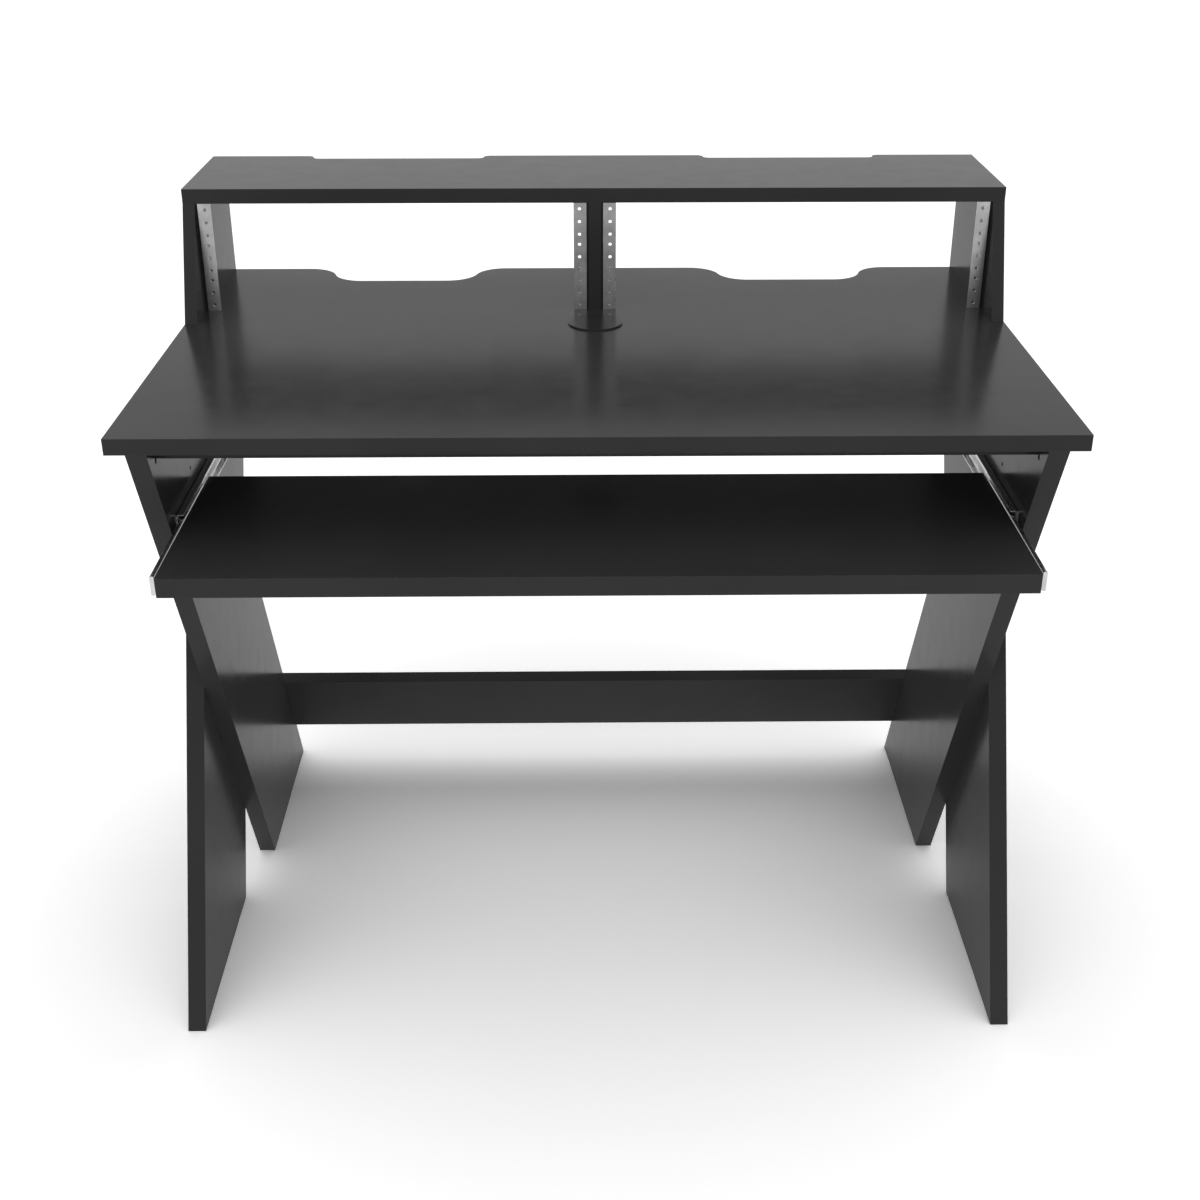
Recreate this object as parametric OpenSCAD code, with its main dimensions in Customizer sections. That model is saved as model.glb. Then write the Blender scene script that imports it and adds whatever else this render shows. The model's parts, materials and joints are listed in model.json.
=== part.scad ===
// Computer desk with a pull-out keyboard tray, crossed board legs and a rack riser.
// Millimetres, +Z up. The origin is on the floor, in the middle of the desk's outline
// with the tray pulled out. Inside the modules, Y counts from the desktop's front edge.

/* [Desktop] */
// Width of the desktop and of the riser shelf
desk_w = 1022; // [1018:2:1034]
// Depth of the desktop from front to back
desk_d = 655; // [620:5:700]
// Height of the desktop's upper face above the floor
desk_top = 785; // [740:5:800]
// Thickness of the desktop, the riser shelf and the stretcher
board_t = 18; // [16:1:19]
// Distance of the capped cable hole in front of the riser shelf
cap_front = 59; // [50:1:90]

/* [Riser] */
// Clear height between the desktop and the riser shelf
riser_h = 136; // [135:1:150]
// Depth of the riser shelf
shelf_d = 200; // [180:5:240]
// Depth of the riser's side boards where they stand on the desktop
riser_foot_d = 258; // [240:2:280]
// Thickness of the riser's upright boards
riser_t = 15; // [15:1:16]

/* [Rack rails] */
// Distance between the two hole columns of a rack bay
rack_spacing = 465.1; // [465.1]
// Number of rack units that a bay holds
rack_units = 3; // [3]
// Diameter of the threaded rail holes
rack_hole_d = 4.3; // [4:0.1:6]
// Thickness of the rail's steel
rail_t = 2; // [1.5:0.5:2]
// Width of the rail's front flange
rail_face_w = 16; // [15.5:0.5:17]
// Depth of the rail's side flange
rail_side_w = 22; // [18:1:26]

/* [Legs] */
// Thickness of the leg boards
leg_t = 22; // [19:1:25]
// Width of a leg board, measured level
leg_w = 272; // [250:2:290]

/* [Stretcher] */
// Width of the tilted board that joins the legs at the back
stretcher_w = 118; // [100:2:130]
// Height of the stretcher's upper front edge above the floor
stretcher_z = 175; // [150:5:220]

/* [Batten] */
// Depth of the flat batten under the desktop
batten_d = 100; // [80:5:110]
// Distance of the batten behind the desktop's front edge
batten_y = 47; // [40:1:52]

/* [Keyboard tray] */
// Depth of the keyboard tray
tray_d = 276; // [260:2:280]
// Thickness of the keyboard tray
tray_t = 22; // [22]
// Height of the tray's upper face above the floor
tray_top = 658; // [645:1:665]
// How far the tray is pulled out of its closed position
tray_pull = 151; // [120:1:180]

/* [Slides] */
// Length of each slide when it is closed
slide_len = 250; // [240:5:250]
// Height of the member on the leg
slide_h = 27; // [27]
// Distance of the slides' middle line below the tray's upper face
slide_drop = 8.3; // [8:0.1:11]
// Width of the gap between leg and tray that a slide fills
slide_gap = 10; // [10]
// Distance of the closed slide behind the desktop's front edge
slide_y = 84; // [80:1:90]

/* [Cable cutouts] */
// Depth of the two cutouts in the desktop's back edge
desk_cut_d = 62; // [40:1:70]
// Width of a desktop cutout at half its depth
desk_cut_w = 193; // [160:1:220]
// Width of the sloping side of a desktop cutout
desk_cut_side = 78; // [70:1:90]
// Distance of the left and right desktop cutouts from the middle
desk_cut_x = [-257, 267];
// Depth of the two cutouts in the shelf's back edge
shelf_cut_d = 17; // [10:1:25]
// Width of a shelf cutout at half its depth
shelf_cut_w = 228; // [200:1:240]
// Distance of the left and right shelf cutouts from the middle
shelf_cut_x = [-261, 261];

/* [Hidden] */

laminate = "#2a2a2c";
steel = "#b9bcc0";
zinc = "#cfd2d6";
beech = "#c9a377";
$fn = 48;
fit = 0.1;        // room around a screw or dowel in its hole
cut = 1;          // how far a cutting body stands past a face

desk_under = desk_top - board_t;
half_w = desk_w / 2;
front = (tray_pull - slide_y - desk_d) / 2;

// Riser
shelf_under = desk_top + riser_h;
shelf_y = desk_d - shelf_d;
riser_foot_y = desk_d - riser_foot_d;
bay_w = (desk_w - 3 * riser_t) / 2;

// Capped cable hole
cable_hole_d = 60;
cap_y = shelf_y - cap_front;
cap_d = 68;
cap_t = 2;
cap_edge = 0.6;
cap_room = 0.2;
cap_wall = 2;
cap_depth = 12;                   // below the desktop's upper face

// Rack rails: holes of one rack unit are 6.35, 22.225 and 38.1 above its lower edge
rack_unit = 44.45;
rack_panel_w = 482.6;
rack_hole_rise = [6.35, 22.225, 38.1];
rack_z = desk_top + (riser_h - rack_units * rack_unit) / 2;
rail_end_room = 0.1;
rail_z = desk_top + rail_end_room;
rail_len = riser_h - 2 * rail_end_room;
rail_y = shelf_y;
rail_gap = (bay_w - rack_panel_w) / 2;      // between the rail and the board that carries it
rail_hole_x = (bay_w - rack_spacing) / 2;
rail_screw_rise = [rack_unit / 2, rail_len / 2, rail_len - rack_unit / 2];

// Legs: the inner board runs down and back, the outer one down and forward
leg_run = desk_d - leg_w;
leg_outer_x = half_w - leg_t;
leg_inner_x = half_w - 2 * leg_t;
leg_inner_outline = [[0, desk_under], [leg_w, desk_under], [desk_d, 0], [leg_run, 0]];
leg_outer_outline = [[leg_run, desk_under], [desk_d, desk_under], [leg_w, 0], [0, 0]];
leg_lean = atan2(leg_run, desk_under);
crossing = [desk_d / 2, desk_under / 2];
stretcher_along = (desk_under - stretcher_z) / cos(leg_lean);
spare_hole_depth = 12;
spare_holes = [[33, 19, 7], [169, 82, 5]];   // behind the front edge, below the desktop, diameter

// Tray and slides: u runs from the leg's inner face to the tray's side
slide_rest_y = slide_y - tray_pull;
slide_z = tray_top - slide_drop;
tray_w = 2 * (leg_inner_x - slide_gap);
wall = 1.1;
play = 0.3;                            // room between parts that move past each other
ball_d = 1.9;
ball_count = 5;
ball_pitch = 12;
ball_u = 7;
ball_row = slide_h / 2 - wall - play - ball_d / 2;   // from the slide's middle line
fixed_depth = 8.5;
drawer_h = 2 * (ball_row - play - ball_d / 2);
drawer_u = 5.2;                        // where the drawer member's flanges end
tab_h = 22;
slide_screw_y = [25, 125, 225];        // along a member, from its front end
cage_t = 0.4;
cage_u = 4.2;
cage_reach = 8.4;
cage_len = 60;
cage_y = slide_y + (slide_len - cage_len - tray_pull) / 2;

// Screws: shank and head diameter
small_screw = [4, 7];
board_screw = [6.5, 10];
leg_screw_len = 16;
tray_screw_len = 16;
rail_screw_bite = 7;              // length in the board
rail_screw_len = rail_t + rail_gap + rail_screw_bite;
rail_screw_back = 8;              // from the rail's rear edge
spacer_back = 2;                  // behind the rail's front face
crossing_screw_len = 40;
crossing_screws = [[-75, 0], [75, 0], [0, -130], [0, 130]];   // from the crossing's middle
board_screw_len = 50;
riser_screw_y = [riser_foot_y + 28, desk_d - 30];
divider_screw_y = [shelf_y + 65, desk_d - 30];
stretcher_screw_at = [stretcher_w / 4, 3 * stretcher_w / 4];
batten_t = leg_t;
batten_screw_x = [-400, -135, 135, 400];
batten_screw_len = 35;
batten_end_y = [batten_y + 28, batten_y + 78];

// Cam fittings between the legs and the desktop
cam_d = 15;
cam_depth = 12.5;
cam_drop = 34;                    // below the desktop
cam_slot_w = 1.6;
cam_slot_depth = 2;
cam_bolt_d = 7;
cam_bolt_neck = 32;
cam_thread_d = 5;
cam_thread_len = 11;
cam_y_inner = [100, leg_w - 57];
cam_y_outer = [leg_run + 82, desk_d - 70];

// Dowels
dowel_d = 8;
dowel_len = 30;
dowel_in_top = 12;                // depth in the desktop or in the shelf
dowel_y_inner = [60, 160];
dowel_y_outer = [leg_run + 122, leg_run + 162];
shelf_dowel_y = [shelf_y + 30, desk_d - 100, desk_d - 25];

// ---- helpers ----

// Moves the drawing from the desktop's front edge to the object's own origin.
module placed() {
  translate([0, front, 0]) children();
}

// Side is 1 on the right and -1 on the left.
module on_side(side) {
  if (side < 0) mirror([1, 0, 0]) children();
  else children();
}

// An upright board that stands across X, from its outline in Y and Z.
module upright(x, t, outline) {
  translate([x, 0, 0]) rotate([90, 0, 90]) linear_extrude(t) polygon(outline);
}

// A countersunk screw along -Z with its head's flat top at z = 0.
module countersunk(size, len, spare = 0) {
  r = size[0] / 2 + spare;
  head_r = size[1] / 2 + spare;
  head_h = (size[1] - size[0]) / 2;
  translate([0, 0, -len - spare]) cylinder(r = r, h = len + spare - head_h);
  translate([0, 0, -head_h]) cylinder(r1 = r, r2 = head_r, h = head_h);
}

// The screw's hole, open above its head.
module countersunk_hole(size, len) {
  countersunk(size, len, fit);
  cylinder(r = size[1] / 2 + fit, h = cut);
}

module dowel(len = dowel_len) {
  cylinder(d = dowel_d, h = len);
}

module dowel_hole(len = dowel_len) {
  translate([0, 0, -fit]) cylinder(d = dowel_d + 2 * fit, h = len + 2 * fit);
}

// One sloping side of a cable cutout, made of two equal arcs that meet in a tangent.
module cutout_side(span, depth) {
  bend = 2 * atan2(depth, span);
  r = span / 2 / sin(bend);
  difference() {
    polygon([[0, cut], [0, -r], [span, r - depth], [span, cut]]);
    translate([0, -r]) circle(r = r, $fn = 96);
  }
  intersection() {
    translate([span, r - depth]) circle(r = r, $fn = 96);
    translate([0, -depth - cut]) square([span, depth + 2 * cut]);
  }
}

// A cable cutout in a back edge that lies on y = 0, with its middle at x = 0.
module cutout(mid_w, depth, span) {
  half_flat = (mid_w - span) / 2;
  translate([-half_flat, -depth]) square([2 * half_flat, depth + cut]);
  for (side = [-1, 1]) scale([side, 1]) translate([-half_flat - span, 0]) cutout_side(span, depth);
}

// ---- boards ----

module leg_top_bolts_at(side) {
  for (y = cam_y_inner) translate([side * (leg_inner_x + leg_t / 2), y, desk_under]) children();
  for (y = cam_y_outer) translate([side * (leg_outer_x + leg_t / 2), y, desk_under]) children();
}

module leg_top_dowels_at(side) {
  for (y = dowel_y_inner) translate([side * (leg_inner_x + leg_t / 2), y, desk_under]) children();
  for (y = dowel_y_outer) translate([side * (leg_outer_x + leg_t / 2), y, desk_under]) children();
}

module riser_screws_at() {
  for (side = [-1, 1], y = riser_screw_y)
    translate([side * (half_w - riser_t / 2), y, desk_under]) mirror([0, 0, 1]) children();
  for (y = divider_screw_y) translate([0, y, desk_under]) mirror([0, 0, 1]) children();
}

module shelf_dowels_at() {
  for (x = [riser_t / 2 - half_w, 0, half_w - riser_t / 2], y = shelf_dowel_y)
    translate([x, y, shelf_under - dowel_len + dowel_in_top]) children();
}

module batten_screws_at() {
  for (x = batten_screw_x)
    translate([x, batten_y + batten_d / 2, desk_under - batten_t]) mirror([0, 0, 1]) children();
}

module batten_end_screws_at(side) {
  for (y = batten_end_y)
    translate([side * leg_outer_x, y, desk_under - batten_t / 2]) rotate([0, 90 * side, 0]) children();
}

// The inner leg's rear edge, seen as a plane: X across, Y down along the edge, Z out to the rear.
module leg_rear_edge() {
  translate([0, leg_w, desk_under]) rotate([leg_lean - 90, 0, 0]) children();
}

module stretcher_screws_at(side) {
  for (along = stretcher_screw_at)
    leg_rear_edge()
      translate([side * (leg_inner_x + leg_t / 2), stretcher_along + along, board_t]) children();
}

module crossing_screws_at(side) {
  for (at = crossing_screws)
    translate([side * half_w, crossing[0] + at[0], crossing[1] + at[1]])
      rotate([0, 90 * side, 0]) children();
}

module leg_screws_at(side) {
  for (y = slide_screw_y)
    translate([side * (leg_inner_x - wall), slide_y + y, slide_z]) rotate([0, -90 * side, 0]) children();
}

module tray_screws_at(side) {
  for (y = slide_screw_y)
    translate([side * (leg_inner_x - slide_gap + wall), slide_rest_y + y, slide_z])
      rotate([0, 90 * side, 0]) children();
}

module desktop() {
  color(laminate) placed() difference() {
    translate([0, 0, desk_under]) linear_extrude(board_t) difference() {
      translate([-half_w, 0]) square([desk_w, desk_d]);
      for (x = desk_cut_x) translate([x, desk_d]) cutout(desk_cut_w, desk_cut_d, desk_cut_side);
      translate([0, cap_y]) circle(d = cable_hole_d);
    }
    for (side = [-1, 1]) {
      leg_top_bolts_at(side) cylinder(d = cam_thread_d + 2 * fit, h = cam_thread_len + fit);
      leg_top_dowels_at(side) cylinder(d = dowel_d + 2 * fit, h = dowel_in_top + fit);
    }
    riser_screws_at() countersunk_hole(board_screw, board_screw_len);
    batten_screws_at() countersunk_hole(small_screw, batten_screw_len);
  }
}

module riser_shelf() {
  color(laminate) placed() difference() {
    translate([0, 0, shelf_under]) linear_extrude(board_t) difference() {
      translate([-half_w, shelf_y]) square([desk_w, shelf_d]);
      for (x = shelf_cut_x) translate([x, desk_d]) cutout(shelf_cut_w, shelf_cut_d, shelf_cut_d);
    }
    shelf_dowels_at() dowel_hole();
  }
}

// An upright riser board; its front edge runs from foot_y at the bottom to the shelf's front.
module riser_board(x, foot_y) {
  outline = [
    [foot_y, desk_top],
    [desk_d, desk_top],
    [desk_d, shelf_under],
    [shelf_y, shelf_under]
  ];
  difference() {
    upright(x, riser_t, outline);
    shelf_dowels_at() dowel_hole();
    riser_screws_at() countersunk_hole(board_screw, board_screw_len);
    for (bay = [-1, 1], end = [-1, 1]) rail_screws_at(bay, end) countersunk_hole(small_screw, rail_screw_len);
  }
}

module riser_side_left() {
  color(laminate) placed() riser_board(-half_w, riser_foot_y);
}

module riser_side_right() {
  color(laminate) placed() riser_board(half_w - riser_t, riser_foot_y);
}

module riser_divider() {
  color(laminate) placed() riser_board(-riser_t / 2, shelf_y);
}

// The flat cap of the desktop's cable hole, with the collar that holds it in the hole.
module cable_hole_cap() {
  collar_d = cable_hole_d - 2 * cap_room;
  color("#1b1b1c") placed() translate([0, cap_y, desk_top]) {
    cylinder(d = cap_d, h = cap_t - cap_edge);
    translate([0, 0, cap_t - cap_edge]) cylinder(d1 = cap_d, d2 = cap_d - 2 * cap_edge, h = cap_edge);
    translate([0, 0, -cap_depth]) difference() {
      cylinder(d = collar_d, h = cap_depth);
      translate([0, 0, -cut]) cylinder(d = collar_d - 2 * cap_wall, h = cap_depth + cut);
    }
  }
}

// The holes that join a leg's top to the desktop.
module leg_top_holes(side, face_x, cam_y) {
  leg_top_bolts_at(side)
    translate([0, 0, -cam_drop]) cylinder(d = cam_bolt_d + 2 * fit, h = cam_drop + cut);
  leg_top_dowels_at(side)
    mirror([0, 0, 1]) cylinder(d = dowel_d + 2 * fit, h = dowel_len - dowel_in_top + fit);
  for (y = cam_y) translate([side * face_x, y, desk_under - cam_drop]) rotate([0, 90 * side, 0])
    translate([0, 0, -cut]) cylinder(d = cam_d + 2 * fit, h = cam_depth + cut + fit);
}

module leg_inner(side) {
  difference() {
    on_side(side) upright(leg_inner_x, leg_t, leg_inner_outline);
    leg_top_holes(side, leg_inner_x, cam_y_inner);
    for (at = spare_holes)
      translate([side * leg_inner_x, at[0], desk_under - at[1]]) rotate([0, 90 * side, 0])
        translate([0, 0, -cut]) cylinder(d = at[2], h = spare_hole_depth + cut);
    leg_screws_at(side) countersunk_hole(small_screw, leg_screw_len);
    batten_end_screws_at(side) countersunk_hole(board_screw, board_screw_len);
    stretcher_screws_at(side) countersunk_hole(board_screw, board_screw_len);
    crossing_screws_at(side) countersunk_hole(small_screw, crossing_screw_len);
  }
}

module leg_outer(side) {
  difference() {
    on_side(side) upright(leg_outer_x, leg_t, leg_outer_outline);
    leg_top_holes(side, leg_outer_x, cam_y_outer);
    crossing_screws_at(side) countersunk_hole(small_screw, crossing_screw_len);
  }
}

module leg_inner_left() { color(laminate) placed() leg_inner(-1); }
module leg_inner_right() { color(laminate) placed() leg_inner(1); }
module leg_outer_left() { color(laminate) placed() leg_outer(-1); }
module leg_outer_right() { color(laminate) placed() leg_outer(1); }

module stretcher() {
  color(laminate) placed() difference() {
    leg_rear_edge()
      translate([-leg_outer_x, stretcher_along, 0]) cube([2 * leg_outer_x, stretcher_w, board_t]);
    for (side = [-1, 1]) stretcher_screws_at(side) countersunk_hole(board_screw, board_screw_len);
  }
}

module batten() {
  color(laminate) placed() difference() {
    translate([-leg_inner_x, batten_y, desk_under - batten_t]) cube([2 * leg_inner_x, batten_d, batten_t]);
    batten_screws_at() countersunk_hole(small_screw, batten_screw_len);
    for (side = [-1, 1]) batten_end_screws_at(side) countersunk_hole(board_screw, board_screw_len);
  }
}

module keyboard_tray() {
  color(laminate) placed() difference() {
    translate([-tray_w / 2, slide_rest_y, tray_top - tray_t]) cube([tray_w, tray_d, tray_t]);
    for (side = [-1, 1]) tray_screws_at(side) countersunk_hole(small_screw, tray_screw_len);
  }
}

// ---- rack rails ----

// Bay is -1 for the left bay and 1 for the right one; end is -1 for the rail on the bay's left.
function bay_middle(bay) = bay * (riser_t + bay_w) / 2;
function rail_wall(bay, end) = bay_middle(bay) + end * bay_w / 2;
function rail_side(bay, end) = rail_wall(bay, end) - end * rail_gap;

module rail_screws_at(bay, end) {
  for (rise = rail_screw_rise)
    translate([rail_side(bay, end) - end * rail_t, rail_y + rail_side_w - rail_screw_back, rail_z + rise])
      rotate([0, -90 * end, 0]) children();
}

module rack_rail(bay, end) {
  color(steel) placed() difference() {
    translate([rail_side(bay, end), rail_y, rail_z]) scale([-end, 1, 1]) linear_extrude(rail_len) {
      square([rail_face_w, rail_t]);
      square([rail_t, rail_side_w]);
    }
    for (unit = [0:rack_units - 1], rise = rack_hole_rise)
      translate([rail_wall(bay, end) - end * rail_hole_x, rail_y - cut, rack_z + unit * rack_unit + rise])
        rotate([-90, 0, 0]) cylinder(d = rack_hole_d, h = rail_t + 2 * cut);
    rail_screws_at(bay, end) countersunk_hole(small_screw, rail_screw_len);
  }
}

// Black strips that fill the gap between each rail and its board.
module rail_spacers() {
  color("#1b1b1c") placed() for (bay = [-1, 1], end = [-1, 1]) difference() {
    translate([rail_side(bay, end), rail_y + spacer_back, rail_z]) scale([end, 1, 1])
      cube([rail_gap, rail_side_w - spacer_back, rail_len]);
    rail_screws_at(bay, end) countersunk_hole(small_screw, rail_screw_len);
  }
}

module rack_rail_left_outer() { rack_rail(-1, -1); }
module rack_rail_left_inner() { rack_rail(-1, 1); }
module rack_rail_right_inner() { rack_rail(1, -1); }
module rack_rail_right_outer() { rack_rail(1, 1); }

// ---- slides ----

// Places a slide member's profile, drawn in u and z, so that it starts at y and runs back.
module slide_profile(side, y, len) {
  translate([side * leg_inner_x, y + len, slide_z]) scale([-side, 1, 1]) rotate([90, 0, 0])
    linear_extrude(len) children();
}

// A channel of one wall thickness: its web stands at u0 and its flanges reach u1.
module channel(u0, u1, height) {
  web = u1 > u0 ? u0 : u0 - wall;
  translate([web, -height / 2]) square([wall, height]);
  for (z = [-height / 2, height / 2 - wall]) translate([min(u0, u1), z]) square([abs(u1 - u0), wall]);
}

module slide_fixed(side) {
  color(zinc) placed() difference() {
    slide_profile(side, slide_y, slide_len) channel(0, fixed_depth, slide_h);
    leg_screws_at(side) countersunk_hole(small_screw, leg_screw_len);
  }
}

// The member on the tray, with a bent tab that closes its front end.
module slide_drawer(side) {
  color(zinc) placed() difference() {
    union() {
      slide_profile(side, slide_rest_y, slide_len) channel(slide_gap, drawer_u, drawer_h);
      slide_profile(side, slide_rest_y, wall)
        translate([drawer_u, -tab_h / 2]) square([slide_gap - drawer_u, tab_h]);
    }
    tray_screws_at(side) countersunk_hole(small_screw, tray_screw_len);
  }
}

module balls_at(side) {
  for (i = [0:ball_count - 1], up = [-1, 1])
    translate([
      side * (leg_inner_x - ball_u),
      cage_y + cage_len / 2 + (i - (ball_count - 1) / 2) * ball_pitch,
      slide_z + up * ball_row
    ]) children();
}

module ball_cage(side) {
  color("#8f9296") placed() difference() {
    slide_profile(side, cage_y, cage_len) {
      translate([cage_u, -ball_row - cage_t / 2]) square([cage_t, 2 * ball_row + cage_t]);
      for (up = [-1, 1])
        translate([cage_u, up * ball_row - cage_t / 2]) square([cage_reach - cage_u, cage_t]);
    }
    balls_at(side) cylinder(d = ball_d + 2 * fit, h = 3 * cage_t, center = true);
  }
}

module slide_balls(side) {
  color(zinc) placed() balls_at(side) sphere(d = ball_d, $fn = 16);
}

module slide_fixed_left() { slide_fixed(-1); }
module slide_fixed_right() { slide_fixed(1); }
module slide_drawer_left() { slide_drawer(-1); }
module slide_drawer_right() { slide_drawer(1); }
module ball_cage_left() { ball_cage(-1); }
module ball_cage_right() { ball_cage(1); }
module slide_balls_left() { slide_balls(-1); }
module slide_balls_right() { slide_balls(1); }

// ---- fasteners ----

module rail_screws() {
  color(zinc) placed() for (bay = [-1, 1], end = [-1, 1])
    rail_screws_at(bay, end) countersunk(small_screw, rail_screw_len);
}

module slide_leg_screws() {
  color(zinc) placed() for (side = [-1, 1]) leg_screws_at(side) countersunk(small_screw, leg_screw_len);
}

module slide_tray_screws() {
  color(zinc) placed() for (side = [-1, 1]) tray_screws_at(side) countersunk(small_screw, tray_screw_len);
}

module leg_crossing_screws() {
  color(zinc) placed() for (side = [-1, 1])
    crossing_screws_at(side) countersunk(small_screw, crossing_screw_len);
}

module leg_cams() {
  color(zinc) placed() for (side = [-1, 1]) {
    for (y = cam_y_inner) cam(side, leg_inner_x, y);
    for (y = cam_y_outer) cam(side, leg_outer_x, y);
  }
}

// A cam disc with its driving slot and the notch that the bolt's neck enters from above.
module cam(side, face_x, y) {
  difference() {
    translate([side * face_x, y, desk_under - cam_drop]) rotate([0, 90 * side, 0]) difference() {
      cylinder(d = cam_d, h = cam_depth);
      translate([-cam_d / 4, -cam_slot_w / 2, -cut]) cube([cam_d / 2, cam_slot_w, cut + cam_slot_depth]);
    }
    translate([side * (face_x + leg_t / 2), y, desk_under - cam_drop])
      cylinder(d = cam_bolt_d + 2 * fit, h = cam_d);
  }
}

module leg_cam_bolts() {
  color(zinc) placed() for (side = [-1, 1]) leg_top_bolts_at(side) {
    translate([0, 0, -cam_bolt_neck]) cylinder(d = cam_bolt_d, h = cam_bolt_neck);
    cylinder(d = cam_thread_d, h = cam_thread_len);
  }
}

module leg_dowels() {
  color(beech) placed() for (side = [-1, 1])
    leg_top_dowels_at(side) translate([0, 0, dowel_in_top - dowel_len]) dowel();
}

module riser_screws() {
  color(zinc) placed() riser_screws_at() countersunk(board_screw, board_screw_len);
}

module shelf_dowels() {
  color(beech) placed() shelf_dowels_at() dowel();
}

module stretcher_screws() {
  color(zinc) placed() for (side = [-1, 1])
    stretcher_screws_at(side) countersunk(board_screw, board_screw_len);
}

module batten_screws() {
  color(zinc) placed() batten_screws_at() countersunk(small_screw, batten_screw_len);
}

module batten_end_screws() {
  color(zinc) placed() for (side = [-1, 1])
    batten_end_screws_at(side) countersunk(board_screw, board_screw_len);
}

desktop();
riser_shelf();
riser_side_left();
riser_side_right();
riser_divider();
rack_rail_left_outer();
rack_rail_left_inner();
rack_rail_right_inner();
rack_rail_right_outer();
leg_inner_left();
leg_inner_right();
leg_outer_left();
leg_outer_right();
stretcher();
batten();
cable_hole_cap();
keyboard_tray();
slide_fixed_left();
slide_fixed_right();
slide_drawer_left();
slide_drawer_right();
ball_cage_left();
ball_cage_right();
slide_balls_left();
slide_balls_right();
rail_spacers();
rail_screws();
slide_leg_screws();
slide_tray_screws();
leg_crossing_screws();
leg_cams();
leg_cam_bolts();
leg_dowels();
riser_screws();
shelf_dowels();
stretcher_screws();
batten_screws();
batten_end_screws();
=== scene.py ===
"""Looks of the computer desk with keyboard tray: black laminate boards, zinc-plated rails and slides."""

import json
import math

import bmesh
import bpy
import numpy as np
from mathutils import Matrix, Vector


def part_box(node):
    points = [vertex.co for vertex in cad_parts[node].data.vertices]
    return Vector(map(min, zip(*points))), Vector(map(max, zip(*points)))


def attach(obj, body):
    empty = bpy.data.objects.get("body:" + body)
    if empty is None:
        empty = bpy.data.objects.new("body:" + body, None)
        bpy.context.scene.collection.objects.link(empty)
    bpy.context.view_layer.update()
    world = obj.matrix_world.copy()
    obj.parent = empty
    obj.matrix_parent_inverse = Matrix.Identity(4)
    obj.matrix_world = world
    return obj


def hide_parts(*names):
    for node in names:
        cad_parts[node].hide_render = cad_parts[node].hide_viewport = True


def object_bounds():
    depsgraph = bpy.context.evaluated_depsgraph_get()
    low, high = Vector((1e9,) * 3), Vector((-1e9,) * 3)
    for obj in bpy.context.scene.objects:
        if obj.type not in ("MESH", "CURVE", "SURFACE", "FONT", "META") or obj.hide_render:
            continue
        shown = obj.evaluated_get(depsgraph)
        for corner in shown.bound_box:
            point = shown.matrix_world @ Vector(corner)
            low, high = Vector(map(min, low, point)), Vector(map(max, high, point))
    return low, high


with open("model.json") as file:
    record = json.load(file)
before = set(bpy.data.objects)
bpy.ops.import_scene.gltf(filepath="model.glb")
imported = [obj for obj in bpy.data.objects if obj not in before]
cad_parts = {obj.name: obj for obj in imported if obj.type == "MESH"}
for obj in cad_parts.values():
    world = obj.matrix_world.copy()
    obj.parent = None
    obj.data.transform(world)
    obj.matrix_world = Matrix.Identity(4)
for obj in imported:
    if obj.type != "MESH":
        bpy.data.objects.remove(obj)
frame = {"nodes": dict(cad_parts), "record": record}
CAD_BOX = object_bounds()
NODES = frame["nodes"]

# Driving values, in metres and degrees
CAMERA_PLACE = Vector((-0.01771, -1.85501, 1.38324))
CAMERA_PITCH = 26.717   # below the horizon
CAMERA_YAW = 0.688      # towards +X
CAMERA_LENS = 48.5      # millimetres
CAMERA_SENSOR = 36.0    # millimetres
FLOOR_SIZE = 14.0
FLOOR_LIFT = 1.55       # white level of the floor as the camera sees it
FLOOR_IN_GLOSS = 1.1    # its white level in reflections
FLOOR_GAP = 0.0002      # the floor lies this far below the feet
WORLD_SEEN = 1.3        # brightness behind the object
WORLD_DOME = 1.0        # brightness that lights the object
WELD = 0.00001          # corners closer than this are one corner
SHARP_ANGLE = 40        # edges that turn more than this are edges, not curves
FLAT_ANGLE = 1          # faces that turn less than this are one flat face
BOARD_BEVEL = 0.0006
METAL_BEVEL = 0.00015
STRIP_WALL = 0.0011     # sheet thickness of the slide members
STRIP_BEND = 0.002      # outer radius of their bends
STRIP_STEPS = 6         # facets of a bend
TAB_PAST = 0.0011       # how far a slide's front tab stands past its flanges
HOLE_ROOM = 0.0001      # a hole is this much wider than its screw
HOLE_ABOVE = 0.001      # how far the body that cuts a hole stands out of it
TURN_STEPS = 24         # corners of a turned piece's rings
DOWEL_CHAMFER = 0.0012
DOWEL_FLUTE = 0.95      # a flute's floor, as a part of the dowel's radius

# A screw's shape, as parts of its shank's radius unless said otherwise
SCREW_ROOT = 0.72       # radius between the thread's turns
SCREW_NECK = 0.97       # radius of the plain neck
SCREW_CREST = 0.98
SCREW_PITCH = 0.85
SCREW_STEPS = 3         # rings along one turn of the thread
SCREW_TIP = 1.6         # length of the point
SCREW_END = 0.1         # radius of the point's end
SCREW_NECK_RUN = 0.3    # end of the neck, as a part of the screw's length
SCREW_EDGE = 0.0001     # height of the head's rim, in metres
RECESS_TOP = 0.5        # reach of the cross recess at the top, as a part of the head's radius
RECESS_FLOOR = 0.22     # its reach at the bottom
RECESS_DEPTH = 1.05     # its depth, as a part of the head's cone

SCREW_NODES = (
    "rail_screws", "slide_leg_screws", "slide_tray_screws", "leg_crossing_screws",
    "riser_screws", "stretcher_screws", "batten_screws", "batten_end_screws",
)
DOWEL_NODES = ("leg_dowels", "shelf_dowels")


# ---- node helpers ----

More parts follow.
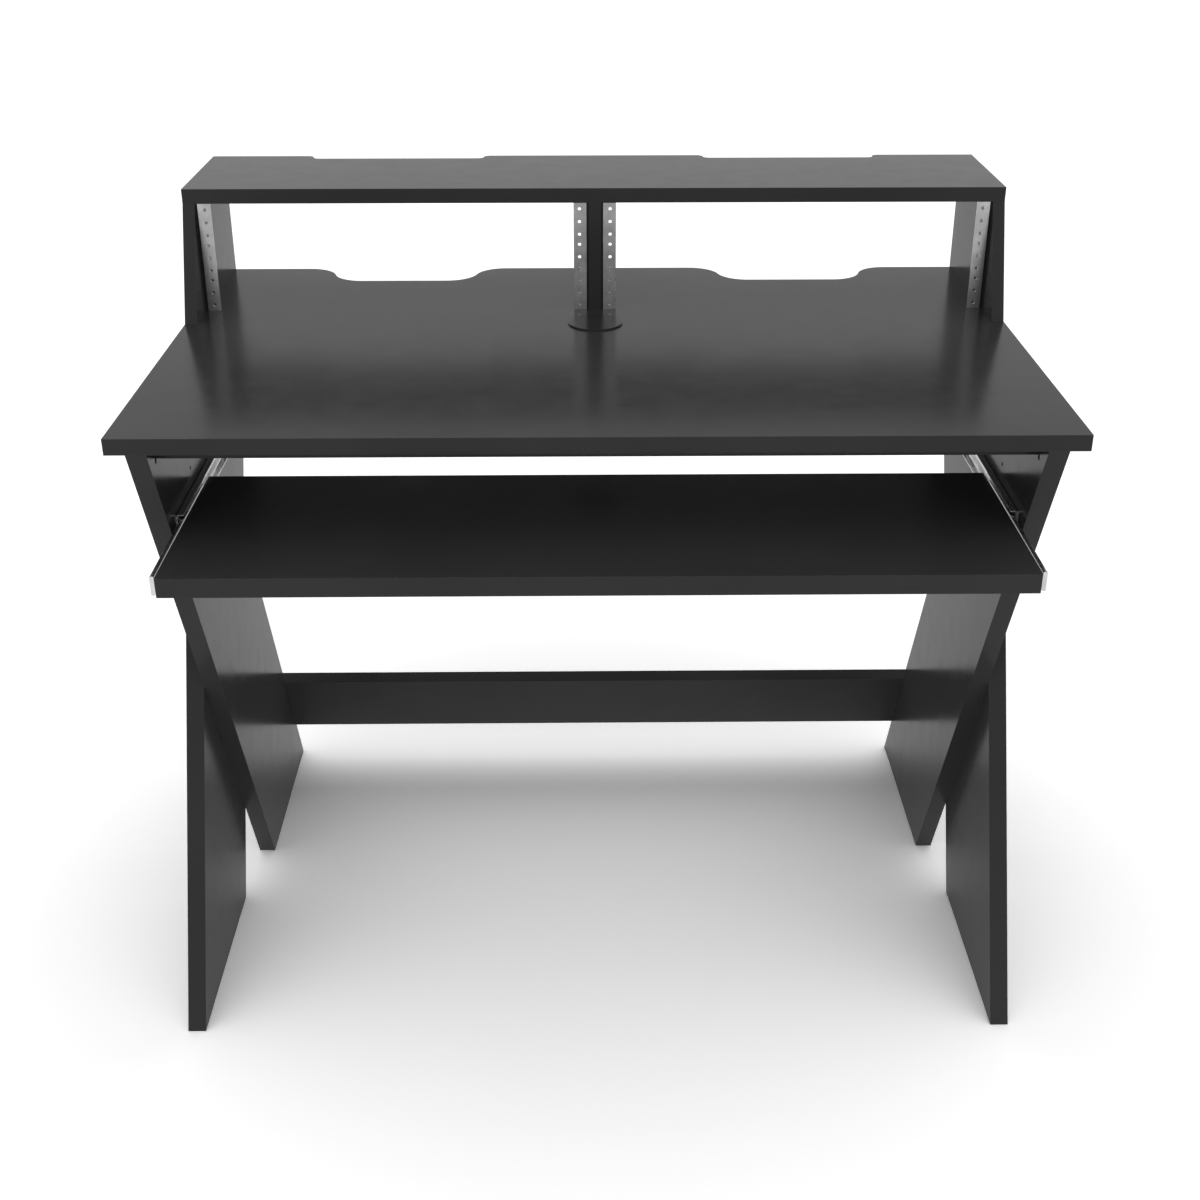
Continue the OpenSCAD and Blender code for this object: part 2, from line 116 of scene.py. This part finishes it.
class Graph:
    """Builds a material's node tree in short steps."""

    def __init__(self, name):
        self.material = bpy.data.materials.new(name)
        self.material.use_nodes = True
        self.tree = self.material.node_tree
        self.shader = self.tree.nodes["Principled BSDF"]
        coords = self.tree.nodes.new("ShaderNodeTexCoord")
        self.place = coords.outputs["Object"]

    def node(self, kind, **settings):
        made = self.tree.nodes.new(kind)
        for key, value in settings.items():
            setattr(made, key, value)
        return made

    def link(self, source, target):
        self.tree.links.new(source, target)

    def stretched(self, scale):
        """Coordinates scaled by three factors, so that a texture runs longer one way."""
        mapping = self.node("ShaderNodeMapping")
        mapping.inputs["Scale"].default_value = scale
        self.link(self.place, mapping.inputs["Vector"])
        return mapping.outputs["Vector"]

    def noise(self, scale, detail=2.0, roughness=0.5, vector=None):
        made = self.node("ShaderNodeTexNoise")
        made.inputs["Scale"].default_value = scale
        made.inputs["Detail"].default_value = detail
        made.inputs["Roughness"].default_value = roughness
        self.link(vector or self.place, made.inputs["Vector"])
        return made.outputs["Fac"]

    def ramp(self, value, low, high, out_low=0.0, out_high=1.0):
        made = self.node("ShaderNodeMapRange", interpolation_type="SMOOTHSTEP")
        limits = {"From Min": low, "From Max": high, "To Min": out_low, "To Max": out_high}
        for socket, number in limits.items():
            made.inputs[socket].default_value = number
        self.link(value, made.inputs["Value"])
        return made.outputs["Result"]

    def math(self, operation, a, b):
        made = self.node("ShaderNodeMath", operation=operation)
        for socket, value in zip(made.inputs, (a, b)):
            if isinstance(value, (int, float)):
                socket.default_value = value
            else:
                self.link(value, socket)
        return made.outputs["Value"]

    def mix(self, factor, a, b):
        """Blends two colours, each a triple or a socket, by a factor socket."""
        made = self.node("ShaderNodeMix", data_type="RGBA")
        self.link(factor, made.inputs["Factor"])
        for socket, value in ((made.inputs[6], a), (made.inputs[7], b)):
            if isinstance(value, tuple):
                socket.default_value = (*value, 1.0)
            else:
                self.link(value, socket)
        return made.outputs[2]

    def bump(self, height, distance, strength=1.0, below=None):
        made = self.node("ShaderNodeBump")
        made.inputs["Strength"].default_value = strength
        made.inputs["Distance"].default_value = distance
        self.link(height, made.inputs["Height"])
        if below is not None:
            self.link(below, made.inputs["Normal"])
        return made.outputs["Normal"]

    def worn_edges(self, radius):
        """1 along the edges and 0 on the faces."""
        rounded = self.node("ShaderNodeBevel", samples=4)
        rounded.inputs["Radius"].default_value = radius
        geometry = self.node("ShaderNodeNewGeometry")
        dot = self.node("ShaderNodeVectorMath", operation="DOT_PRODUCT")
        self.link(rounded.outputs["Normal"], dot.inputs[0])
        self.link(geometry.outputs["Normal"], dot.inputs[1])
        return self.ramp(dot.outputs["Value"], 0.995, 0.86)

    def feed(self, **sockets):
        """Sets the shader's sockets: a number or colour on the socket itself, anything else by a link."""
        for key, value in sockets.items():
            socket = self.shader.inputs[key.replace("_", " ").title().replace("Ior", "IOR")]
            if isinstance(value, (int, float)):
                socket.default_value = value
            elif isinstance(value, tuple):
                socket.default_value = (*value, 1.0)
            else:
                self.link(value, socket)


# ---- materials ----

STEEL_LIGHT = 1.08    # the palest zinc bloom, against the base colour
STEEL_DARK = 0.82     # the darkest


def laminate():
    """Satin black melamine: a fine pearl grain, faint handling marks and slightly paler worn edges."""
    g = Graph("black_laminate")
    grain = g.noise(900.0, detail=3.0, roughness=0.6)
    cloud = g.noise(5.0, detail=4.0)
    smudge = g.noise(28.0, detail=5.0, roughness=0.65)
    edge = g.math("MULTIPLY", g.worn_edges(0.0012), g.ramp(g.noise(140.0), 0.35, 0.75))
    face = g.mix(g.ramp(cloud, 0.3, 0.7), (0.034, 0.034, 0.0345), (0.039, 0.039, 0.0395))
    speck = g.mix(g.ramp(grain, 0.62, 0.8, 0.0, 0.3), face, (0.045, 0.045, 0.047))
    g.feed(base_color=g.mix(edge, speck, (0.06, 0.06, 0.062)))
    gloss = g.ramp(smudge, 0.3, 0.75, 0.17, 0.22)
    g.feed(roughness=g.math("ADD", gloss, g.math("MULTIPLY", edge, 0.12)))
    fine = g.bump(grain, 0.00004, 0.35)
    g.feed(normal=g.bump(smudge, 0.0002, 0.05, fine))
    g.feed(ior=1.2)
    return g.material


def steel(name, base, rough, scale, bump=0.00002):
    """Zinc-plated steel with drawn lines; scale says how the lines run."""
    g = Graph(name)
    lines = g.noise(1.0, detail=4.0, roughness=0.7, vector=g.stretched(scale))
    bloom = g.noise(60.0, detail=4.0, roughness=0.6)
    light = tuple(min(1.0, channel * STEEL_LIGHT) for channel in base)
    dark = tuple(channel * STEEL_DARK for channel in base)
    tone = g.mix(g.ramp(bloom, 0.3, 0.7), dark, light)
    g.feed(base_color=g.mix(g.ramp(lines, 0.3, 0.7, 0.0, 0.4), tone, light))
    g.feed(metallic=1.0, roughness=g.ramp(lines, 0.25, 0.75, rough - 0.06, rough + 0.08))
    g.feed(normal=g.bump(lines, bump, 0.5))
    return g.material


def plastic():
    """Smooth black plastic of the cable hole's cap and of the strips beside the rack rails."""
    g = Graph("black_plastic")
    cloud = g.noise(45.0, detail=3.0)
    g.feed(base_color=g.mix(g.ramp(cloud, 0.3, 0.7), (0.026, 0.026, 0.026), (0.031, 0.031, 0.032)))
    g.feed(roughness=g.ramp(cloud, 0.3, 0.7, 0.2, 0.26), ior=1.2)
    g.feed(normal=g.bump(g.noise(1500.0), 0.00003, 0.2))
    return g.material


def beech():
    """Turned beech with its grain along the dowel."""
    g = Graph("beech")
    grain = g.noise(1.0, detail=5.0, roughness=0.6, vector=g.stretched((900.0, 900.0, 60.0)))
    g.feed(base_color=g.mix(g.ramp(grain, 0.3, 0.7), (0.42, 0.27, 0.14), (0.66, 0.46, 0.27)))
    g.feed(roughness=g.ramp(grain, 0.3, 0.7, 0.5, 0.65), normal=g.bump(grain, 0.0001, 0.4))
    return g.material


def floor_paint():
    """Plain white floor with a barely visible unevenness, lifted so that open floor reads as pure white."""
    g = Graph("pale_floor")
    cloud = g.noise(1.5, detail=3.0)
    matte = g.node("ShaderNodeBsdfDiffuse")
    path = g.node("ShaderNodeLightPath")
    lift = g.ramp(path.outputs["Is Camera Ray"], 0.0, 1.0, FLOOR_IN_GLOSS, FLOOR_LIFT)
    g.link(g.math("MULTIPLY", lift, g.ramp(cloud, 0.2, 0.8, 0.985, 1.0)), matte.inputs["Color"])
    g.link(matte.outputs["BSDF"], g.tree.nodes["Material Output"].inputs["Surface"])
    return g.material


# Texture scales of drawn steel, by the way its lines run
ACROSS = (40.0, 1500.0, 1500.0)    # along X
ALONG = (1500.0, 30.0, 1500.0)     # along Y
UPRIGHT = (1500.0, 1500.0, 40.0)   # along Z

MATERIALS = {
    "laminate": laminate(),
    "rail_steel": steel("rail_steel", (0.55, 0.55, 0.56), 0.34, UPRIGHT),
    "slide_steel": steel("slide_steel", (0.74, 0.74, 0.75), 0.16, ALONG, bump=0.00001),
    "cage_steel": steel("cage_steel", (0.5, 0.5, 0.51), 0.35, ALONG),
    "ball_steel": steel("ball_steel", (0.8, 0.8, 0.81), 0.12, ACROSS),
    "screw_steel": steel("screw_steel", (0.6, 0.6, 0.62), 0.3, ACROSS),
    "cam_zinc": steel("cam_zinc", (0.52, 0.52, 0.53), 0.42, ACROSS),
    "beech": beech(),
    "disc_plastic": plastic(),
}


def dress(node, slot):
    """Gives a CAD node its material, whole flat faces and small rounded edges."""
    piece = NODES[node]
    piece.data.materials.clear()
    piece.data.materials.append(MATERIALS[slot])
    weld = piece.modifiers.new("weld", "WELD")
    weld.merge_threshold = WELD
    flat = piece.modifiers.new("flat faces", "DECIMATE")
    flat.decimate_type = "DISSOLVE"
    flat.angle_limit = math.radians(FLAT_ANGLE)
    bevel = piece.modifiers.new("edges", "BEVEL")
    bevel.width = BOARD_BEVEL if slot == "laminate" else METAL_BEVEL
    bevel.segments = 3
    bevel.limit_method = "ANGLE"
    bevel.angle_limit = math.radians(SHARP_ANGLE)
    bevel.loop_slide = False
    normals = piece.modifiers.new("normals", "WEIGHTED_NORMAL")
    normals.weight = 100
    normals.keep_sharp = True


# ---- pieces with more detail than the CAD solids ----

SLOT_OF = {part["node"]: part["material_slot"] for part in frame["record"]["subparts"]}
BODIES = frame["record"]["behaviour"]["bodies"]
BODY_OF = {node: body for body, riders in BODIES.items() for node in riders}


def stand_for(node, bm, bevel=0.0):
    """Turns a finished mesh into the piece that is shown in place of a CAD node."""
    bmesh.ops.recalc_face_normals(bm, faces=bm.faces)
    mesh = bpy.data.meshes.new(node + "_shown")
    bm.to_mesh(mesh)
    bm.free()
    piece = bpy.data.objects.new(node + "_shown", mesh)
    bpy.context.scene.collection.objects.link(piece)
    mesh.materials.append(MATERIALS[SLOT_OF[node]])
    mesh.shade_smooth()
    mesh.set_sharp_from_angle(angle=math.radians(SHARP_ANGLE))
    if bevel:
        edges = piece.modifiers.new("edges", "BEVEL")
        edges.width = bevel
        edges.segments = 2
        edges.limit_method = "ANGLE"
        edges.angle_limit = math.radians(SHARP_ANGLE)
        edges.harden_normals = True
    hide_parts(node)
    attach(piece, BODY_OF[node])


def solids(node):
    """The corner points of each separate solid in a CAD node."""
    bm = bmesh.new()
    bm.from_mesh(NODES[node].data)
    bmesh.ops.remove_doubles(bm, verts=bm.verts, dist=WELD)
    bm.verts.index_update()
    left = set(bm.verts)
    groups = []
    while left:
        group, waiting = set(), [min(left, key=lambda vert: vert.index)]
        while waiting:
            vert = waiting.pop()
            if vert not in group:
                group.add(vert)
                waiting += [edge.other_vert(vert) for edge in vert.link_edges]
        left -= group
        ordered = sorted(group, key=lambda vert: vert.index)
        groups.append(np.array([vert.co[:] for vert in ordered]))
    bm.free()
    return groups


def axis_of(points):
    """A turned solid's axis: centre of its wider end, direction to the other end, length and both radii."""
    middle = points.mean(axis=0)
    _, _, directions = np.linalg.svd(points - middle)
    along = (points - middle) @ directions[0]
    ends = []
    for limit in (along.min(), along.max()):
        ring = points[np.abs(along - limit) < 5 * WELD]
        centre = (ring.min(axis=0) + ring.max(axis=0)) / 2
        ends.append((np.linalg.norm(ring - centre, axis=1).max(), centre))
    (wide, start), (narrow, end) = sorted(ends, key=lambda e: -round(e[0], 6))
    start, end = Vector(start), Vector(end)
    return start, (end - start).normalized(), (end - start).length, wide, narrow


def turned(bm, start, direction, rings):
    """Adds a closed solid of rings, each a list of (radius, depth) by corner, along an axis."""
    place = Matrix.Translation(start) @ direction.to_track_quat("Z", "Y").to_matrix().to_4x4()
    rows = []
    for ring in rings:
        row = []
        for i, (radius, depth) in enumerate(ring):
            turn = 2 * math.pi * i / len(ring)
            corner = Vector((radius * math.cos(turn), radius * math.sin(turn), depth))
            row.append(bm.verts.new(place @ corner))
        rows.append(row)
    count = len(rows[0])
    for above, below in zip(rows, rows[1:]):
        for i in range(count):
            j = (i + 1) % count
            bm.faces.new((above[i], above[j], below[j], below[i]))
    bm.faces.new(rows[0])
    bm.faces.new(rows[-1])


def flat_ring(radius, depth, count=TURN_STEPS):
    """A round ring, as (radius, depth) by corner."""
    return [(radius, depth)] * count


def cross_ring(reach, depth):
    """The outline of a cross recess: half an arm is as wide as one step of the ring."""
    ring = []
    for i in range(TURN_STEPS):
        turn = 2 * math.pi * i / TURN_STEPS
        long, short = sorted((abs(math.cos(turn)), abs(math.sin(turn))), reverse=True)
        half = reach * math.tan(2 * math.pi / TURN_STEPS)
        ring.append((min(reach / long, half / max(short, 0.001)), depth))
    return ring


def screw(bm, points):
    """A countersunk wood screw with a cross recess, a rolled thread and a point."""
    start, direction, length, head_r, shank_r = axis_of(points)
    cone = head_r - shank_r
    root, neck, crest = SCREW_ROOT * shank_r, SCREW_NECK * shank_r, SCREW_CREST * shank_r
    pitch = SCREW_PITCH * shank_r
    tip = SCREW_TIP * shank_r
    thread_top = cone + max(pitch, SCREW_NECK_RUN * length - cone)
    rings = [cross_ring(RECESS_FLOOR * head_r, RECESS_DEPTH * cone), cross_ring(RECESS_TOP * head_r, 0.0)]
    rings += [flat_ring(head_r - SCREW_EDGE, 0.0), flat_ring(head_r, SCREW_EDGE)]
    rings += [flat_ring(neck, cone), flat_ring(neck, thread_top)]
    step = pitch / SCREW_STEPS
    for k in range(1, int((length - tip - thread_top) / step) + 1):
        depth = thread_top + k * pitch / SCREW_STEPS
        ring = []
        for i in range(TURN_STEPS):
            phase = (depth / pitch - i / TURN_STEPS) % 1.0
            rise = max(0.0, 1.0 - 3.0 * abs(phase - 0.5))
            ring.append((root + (crest - root) * rise, depth))
        rings.append(ring)
    rings += [flat_ring(root, length - tip), flat_ring(SCREW_END * shank_r, length)]
    turned(bm, start, direction, rings)


def dowel(bm, points):
    """A beech dowel with pressed flutes and chamfered ends."""
    start, direction, length, radius, _ = axis_of(points)
    count = 3 * TURN_STEPS // 2
    fluted = [radius * (DOWEL_FLUTE if i % 2 else 1.0) for i in range(count)]
    rings = [flat_ring(radius - DOWEL_CHAMFER, 0.0, count)]
    rings += [[(r, depth) for r in fluted] for depth in (DOWEL_CHAMFER, length - DOWEL_CHAMFER)]
    rings.append(flat_ring(radius - DOWEL_CHAMFER, length, count))
    turned(bm, start, direction, rings)


def left_of(run):
    """A flat direction turned a quarter to the left."""
    return Vector((-run.y, run.x))


def strip_outline(path):
    """The two sides of a bent strip's outline: path is its outer side, and every bend turns left."""
    line = [(path[0], (path[1] - path[0]).normalized())]
    for before, corner, after in zip(path, path[1:], path[2:]):
        into, out = (corner - before).normalized(), (after - corner).normalized()
        turn = into.angle(out)
        start = corner - into * STRIP_BEND * math.tan(turn / 2)
        centre = start + left_of(into) * STRIP_BEND
        for k in range(STRIP_STEPS + 1):
            spin = Matrix.Rotation(turn * k / STRIP_STEPS, 2)
            line.append((centre + spin @ (start - centre), spin @ into))
    line.append((path[-1], (path[-1] - path[-2]).normalized()))
    inner = [point + left_of(run) * STRIP_WALL for point, run in line]
    return [point for point, _ in line], inner[::-1]


def extruded(bm, outline, place, front_y, back_y):
    """Adds the prism of an outline; place turns an outline point into X and Z."""
    section = [place(point) for point in outline]
    rows = [[bm.verts.new((x, y, z)) for x, z in section] for y in (front_y, back_y)]
    for i in range(len(outline)):
        j = (i + 1) % len(outline)
        bm.faces.new((rows[0][i], rows[0][j], rows[1][j], rows[1][i]))
    bm.faces.new(rows[0])
    bm.faces.new(rows[1])


def countersink(bm, points):
    """Adds the body that cuts a screw's hole."""
    start, direction, length, head_r, shank_r = axis_of(points)
    cone = head_r - shank_r
    head_r, shank_r = head_r + HOLE_ROOM, shank_r + HOLE_ROOM
    rings = ((head_r, -HOLE_ABOVE), (head_r, 0), (shank_r, cone), (shank_r, length))
    turned(bm, start, direction, [flat_ring(radius, depth) for radius, depth in rings])


def holed(body, cutter):
    """A mesh with the holes of another one cut into it; both are used up."""
    objects = []
    for bm in (body, cutter):
        bmesh.ops.recalc_face_normals(bm, faces=bm.faces)
        mesh = bpy.data.meshes.new("holes")
        bm.to_mesh(mesh)
        bm.free()
        objects.append(bpy.data.objects.new("holes", mesh))
        bpy.context.scene.collection.objects.link(objects[-1])
    cut = objects[0].modifiers.new("holes", "BOOLEAN")
    cut.object = objects[1]
    cut.solver = "EXACT"
    depsgraph = bpy.context.evaluated_depsgraph_get()
    result = bmesh.new()
    result.from_mesh(bpy.data.meshes.new_from_object(objects[0].evaluated_get(depsgraph)))
    for used in objects:
        bpy.data.objects.remove(used)
    return result


def strip_path(reach, half):
    """The outer corners of a channel that opens towards +X."""
    return [Vector(corner) for corner in ((reach, half), (0, half), (0, -half), (reach, -half))]


def slide_member(node, screws, tab):
    """A rolled slide member with round bends; the one on the tray has a tab that closes its front end."""
    low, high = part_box(node)
    right = low.x > 0
    web_x, run = (low.x, 1) if right == tab else (high.x, -1)
    middle, reach, half = (low.z + high.z) / 2, high.x - low.x, (high.z - low.z) / 2
    outer, inner = strip_outline(strip_path(reach, half - TAB_PAST * tab))

    def place(point):
        return web_x + run * point.x, middle + point.y

    bm = bmesh.new()
    extruded(bm, outer + inner, place, low.y + STRIP_WALL * tab, high.y)
    holes = bmesh.new()
    for points in solids(screws):
        if (points[:, 0].mean() > 0) == right:
            countersink(holes, points)
    bm = holed(bm, holes)
    if tab:
        extruded(bm, strip_outline(strip_path(reach, half))[0], place, low.y, low.y + STRIP_WALL)
    stand_for(node, bm, bevel=METAL_BEVEL)


for part in frame["record"]["subparts"]:
    dress(part["node"], part["material_slot"])
for turned_nodes, shape in ((SCREW_NODES, screw), (DOWEL_NODES, dowel)):
    for node in turned_nodes:
        group = bmesh.new()
        for points in solids(node):
            shape(group, points)
        stand_for(node, group)
for end in ("left", "right"):
    slide_member("slide_fixed_" + end, "slide_leg_screws", tab=False)
    slide_member("slide_drawer_" + end, "slide_tray_screws", tab=True)


# ---- stage ----

def make_floor():
    mesh = bpy.data.meshes.new("floor")
    half = FLOOR_SIZE / 2
    corners = [(-half, -half, 0), (half, -half, 0), (half, half, 0), (-half, half, 0)]
    mesh.from_pydata(corners, [], [(0, 1, 2, 3)])
    floor = bpy.data.objects.new("floor", mesh)
    floor.location.z = CAD_BOX[0].z - FLOOR_GAP
    floor.data.materials.append(floor_paint())
    floor.visible_diffuse = False
    bpy.context.scene.collection.objects.link(floor)


def make_camera():
    camera = bpy.data.objects.new("camera", bpy.data.cameras.new("camera"))
    camera.data.lens = CAMERA_LENS
    camera.data.sensor_width = CAMERA_SENSOR
    pitch, yaw = math.radians(CAMERA_PITCH), math.radians(CAMERA_YAW)
    look = Vector((math.sin(yaw) * math.cos(pitch), math.cos(yaw) * math.cos(pitch), -math.sin(pitch)))
    camera.location = CAMERA_PLACE
    camera.rotation_euler = look.to_track_quat("-Z", "Y").to_euler()
    bpy.context.scene.collection.objects.link(camera)
    bpy.context.scene.camera = camera


def make_world():
    """A white room: pure white behind the object, a softer dome for light and reflections."""
    world = bpy.data.worlds.new("studio")
    world.use_nodes = True
    nodes, links = world.node_tree.nodes, world.node_tree.links
    nodes.clear()
    out = nodes.new("ShaderNodeOutputWorld")
    path = nodes.new("ShaderNodeLightPath")
    mix = nodes.new("ShaderNodeMixShader")
    seen = nodes.new("ShaderNodeBackground")
    seen.inputs["Strength"].default_value = WORLD_SEEN
    dome = nodes.new("ShaderNodeBackground")
    dome.inputs["Strength"].default_value = WORLD_DOME
    links.new(path.outputs["Is Camera Ray"], mix.inputs["Fac"])
    links.new(dome.outputs["Background"], mix.inputs[1])
    links.new(seen.outputs["Background"], mix.inputs[2])
    links.new(mix.outputs["Shader"], out.inputs["Surface"])
    bpy.context.scene.world = world


make_floor()
make_camera()
make_world()

view = bpy.context.scene.view_settings
view.view_transform = "Standard"
view.look = "None"
